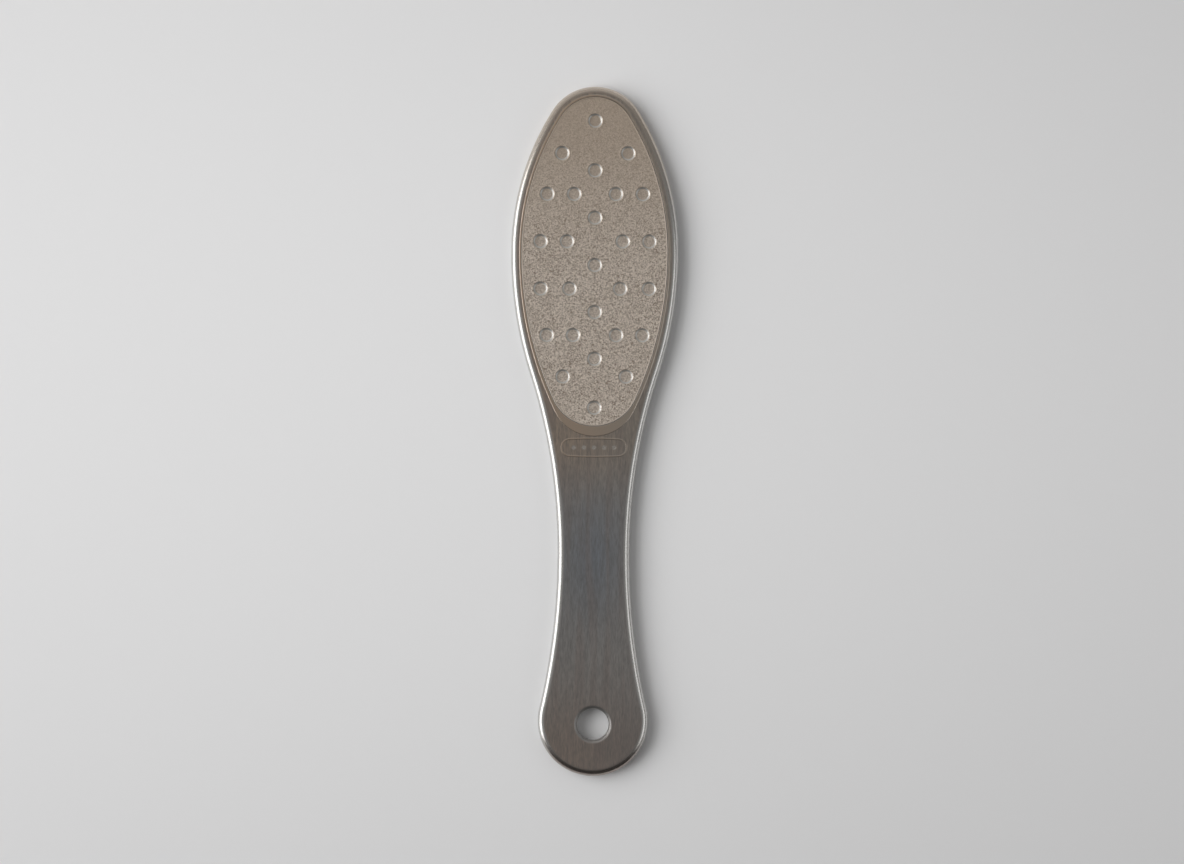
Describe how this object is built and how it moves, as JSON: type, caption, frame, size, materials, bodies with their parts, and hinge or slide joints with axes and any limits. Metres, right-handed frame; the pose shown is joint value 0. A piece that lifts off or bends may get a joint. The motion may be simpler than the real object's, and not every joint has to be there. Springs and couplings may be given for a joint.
{
  "type": "foot file",
  "caption": "Flat foot file with an oval head that carries dimpled file plates front and back, a waisted steel handle with full round edges, and a drawn hang hole.",
  "frame": {"origin": "centre of the outline, on the back file plate's face, which the tool lies on", "axes": "+Y along the handle towards the tip of the head, +Z out of the front face, +X to the right"},
  "size_m": [0.0498, 0.205, 0.0045],
  "materials": {
    "shell_steel": "stainless sheet, brushed lengthwise on the flats and polished round the edge",
    "coarse_file": "coarse etched file surface with a warm matt plating",
    "fine_file": "fine etched file surface with a warm matt plating",
    "core_plastic": "moulded filler, as moulded",
    "bond_film": "die-cut adhesive film"
  },
  "bodies": {
    "root": {"front_shell": "shell_steel", "back_shell": "shell_steel", "core": "core_plastic", "front_file_plate": "coarse_file", "back_file_plate": "fine_file", "front_bond_film": "bond_film", "back_bond_film": "bond_film"}
  },
  "joints": []
}
